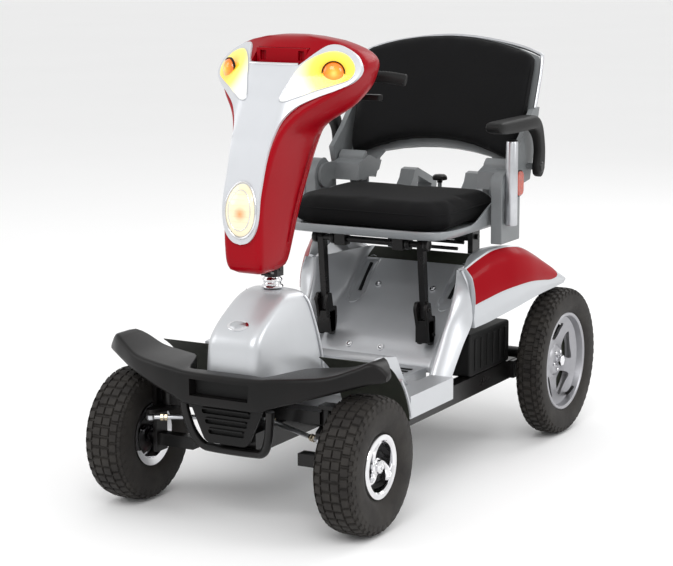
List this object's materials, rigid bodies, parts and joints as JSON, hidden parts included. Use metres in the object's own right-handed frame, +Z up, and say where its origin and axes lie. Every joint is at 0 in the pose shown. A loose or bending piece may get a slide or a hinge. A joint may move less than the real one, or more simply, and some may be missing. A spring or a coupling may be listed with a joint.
{
  "type": "power wheelchair",
  "caption": "Folding powered mobility chair with a steering tiller, padded seat with folding back and arm rests, bumper, footplate, mudguards and air-tyred wheels.",
  "frame": {"origin": "on the ground, in the middle of the footprint", "axes": "+Z up; the rider faces -Y; +X is the rider's left"},
  "size_m": [0.604, 1.15, 0.892],
  "materials": {
    "red_gloss": "gloss",
    "silver_paint": "metallic paint",
    "light_silver": "metallic paint",
    "grey_plastic": "satin",
    "black_plastic": "satin",
    "black_steel": "satin",
    "chrome": "polished",
    "aluminium": "satin",
    "alloy": "satin",
    "tyre_rubber": "matt",
    "black_fabric": "woven",
    "clear_lens": "gloss",
    "amber_lens": "gloss"
  },
  "bodies": {
    "chassis": {"main_frame": "black_steel", "head_tube": "black_steel", "lower_head_bearing": "chrome", "upper_head_bearing": "chrome", "front_axle_beam": "black_steel", "bumper": "black_plastic", "louvre_plate": "black_plastic", "guard_tube": "black_steel", "nose_cover": "silver_paint", "footplate": "silver_paint", "body_cover": "silver_paint", "mudguard_left": "silver_paint", "mudguard_right": "silver_paint", "side_panel_left": "red_gloss", "side_panel_right": "red_gloss", "leg_bracket_left": "black_steel", "leg_bracket_right": "black_steel", "battery_case": "black_plastic", "controller_box": "black_plastic", "drive_unit": "black_steel"},
    "freewheel": {"freewheel_lever": "amber_lens"},
    "column": {"steering_column": "black_steel", "column_collar": "chrome"},
    "tiller": {"tiller_casing": "red_gloss", "tiller_stem": "black_steel", "tiller_face": "light_silver", "headlight_lens": "clear_lens", "indicator_lens_left": "amber_lens", "indicator_lens_right": "amber_lens", "handlebar": "black_plastic"},
    "throttle": {"throttle_lever": "black_plastic"},
    "dial": {"speed_dial": "black_plastic"},
    "key": {"ignition_key": "chrome"},
    "horn": {"horn_button": "amber_lens"},
    "seat": {"seat_frame": "black_steel", "seat_pan": "grey_plastic", "seat_cushion": "black_fabric", "seat_bracket_left": "grey_plastic", "seat_bracket_right": "grey_plastic", "arm_post_left": "aluminium", "arm_post_right": "aluminium", "rear_hoops": "grey_plastic"},
    "knob": {"clamp_knob": "black_plastic"},
    "legs": {"leg_frame": "black_steel"},
    "backrest": {"backrest_frame": "grey_plastic", "backrest_cushion": "black_fabric"},
    "knuckle_left_body": {"knuckle_left": "black_steel"},
    "tie_rod_left_body": {"tie_rod_left": "chrome"},
    "arm_left": {"arm_rest_left": "black_plastic"},
    "front_wheel_left": {"front_left_tyre": "tyre_rubber", "front_left_rim": "chrome"},
    "rear_wheel_left": {"rear_left_tyre": "tyre_rubber", "rear_left_rim": "alloy"},
    "knuckle_right_body": {"knuckle_right": "black_steel"},
    "tie_rod_right_body": {"tie_rod_right": "chrome"},
    "arm_right": {"arm_rest_right": "black_plastic"},
    "front_wheel_right": {"front_right_tyre": "tyre_rubber", "front_right_rim": "chrome"},
    "rear_wheel_right": {"rear_right_tyre": "tyre_rubber", "rear_right_rim": "alloy"}
  },
  "joints": [
    {"name": "steer", "type": "hinge", "parent": "chassis", "child": "column", "pos_m": [0, -0.35, 0.186], "axis": [0, 0, 1], "range_deg": [-30, 30]},
    {"name": "tiller_tilt", "type": "hinge", "parent": "column", "child": "tiller", "pos_m": [0, -0.35, 0.462], "axis": [1, 0, 0], "range_deg": [-30, 10]},
    {"name": "kingpin_left", "type": "hinge", "parent": "chassis", "child": "knuckle_left_body", "pos_m": [0.176, -0.445, 0.13], "axis": [0, 0, 1], "range_deg": [-30, 30]},
    {"name": "tie_rod_end_left", "type": "hinge", "parent": "column", "child": "tie_rod_left_body", "pos_m": [0.011, -0.4, 0.178], "axis": [0, 0, 1], "range_deg": [-30, 30]},
    {"name": "front_wheel_spin_left", "type": "hinge", "parent": "knuckle_left_body", "child": "front_wheel_left", "pos_m": [0.25, -0.445, 0.13], "axis": [1, 0, 0], "continuous": true},
    {"name": "rear_wheel_spin_left", "type": "hinge", "parent": "chassis", "child": "rear_wheel_left", "pos_m": [0.265, 0.415, 0.16], "axis": [1, 0, 0], "continuous": true},
    {"name": "arm_rest_lift_left", "type": "hinge", "parent": "backrest", "child": "arm_left", "pos_m": [0.2455, 0.345, 0.593], "axis": [1, 0, 0], "range_deg": [-90, 0]},
    {"name": "kingpin_right", "type": "hinge", "parent": "chassis", "child": "knuckle_right_body", "pos_m": [-0.176, -0.445, 0.13], "axis": [0, 0, 1], "range_deg": [-30, 30]},
    {"name": "tie_rod_end_right", "type": "hinge", "parent": "column", "child": "tie_rod_right_body", "pos_m": [-0.011, -0.4, 0.178], "axis": [0, 0, 1], "range_deg": [-30, 30]},
    {"name": "front_wheel_spin_right", "type": "hinge", "parent": "knuckle_right_body", "child": "front_wheel_right", "pos_m": [-0.25, -0.445, 0.13], "axis": [1, 0, 0], "continuous": true},
    {"name": "rear_wheel_spin_right", "type": "hinge", "parent": "chassis", "child": "rear_wheel_right", "pos_m": [-0.265, 0.415, 0.16], "axis": [1, 0, 0], "continuous": true},
    {"name": "arm_rest_lift_right", "type": "hinge", "parent": "backrest", "child": "arm_right", "pos_m": [-0.2455, 0.345, 0.593], "axis": [1, 0, 0], "range_deg": [-90, 0]},
    {"name": "seat_tilt", "type": "hinge", "parent": "chassis", "child": "seat", "pos_m": [0, 0.34, 0.432], "axis": [1, 0, 0], "range_deg": [-60, 0]},
    {"name": "leg_fold", "type": "hinge", "parent": "seat", "child": "legs", "pos_m": [0, 0.048, 0.457], "axis": [1, 0, 0], "range_deg": [0, 80]},
    {"name": "back_fold", "type": "hinge", "parent": "seat", "child": "backrest", "pos_m": [0, 0.218, 0.563], "axis": [1, 0, 0], "range_deg": [0, 90]},
    {"name": "throttle_rock", "type": "hinge", "parent": "tiller", "child": "throttle", "pos_m": [0, -0.143, 0.772], "axis": [0, 0, 1], "range_deg": [-12, 12], "stiffness_Nm_per_rad": 0.6},
    {"name": "dial_turn", "type": "hinge", "parent": "tiller", "child": "dial", "pos_m": [0.035, -0.1585, 0.842], "axis": [0, 1, 0], "range_deg": [0, 270]},
    {"name": "key_turn", "type": "hinge", "parent": "tiller", "child": "key", "pos_m": [-0.035, -0.1585, 0.842], "axis": [0, 1, 0], "range_deg": [0, 90]},
    {"name": "horn_press", "type": "slide", "parent": "tiller", "child": "horn", "axis": [0, -1, 0], "range_m": [0, 0.002], "stiffness_N_per_m": 250},
    {"name": "knob_turn", "type": "hinge", "parent": "seat", "child": "knob", "pos_m": [0, 0.37, 0.553], "axis": [0, 0, 1], "range_deg": [0, 180]},
    {"name": "freewheel_engage", "type": "hinge", "parent": "chassis", "child": "freewheel", "pos_m": [0.055, 0.445, 0.195], "axis": [1, 0, 0], "range_deg": [0, 35]}
  ],
  "couplings": [
    {"joint": "kingpin_left", "follows": "steer", "ratio": 1},
    {"joint": "kingpin_right", "follows": "steer", "ratio": 1},
    {"joint": "tie_rod_end_left", "follows": "steer", "ratio": -1},
    {"joint": "tie_rod_end_right", "follows": "steer", "ratio": -1}
  ]
}
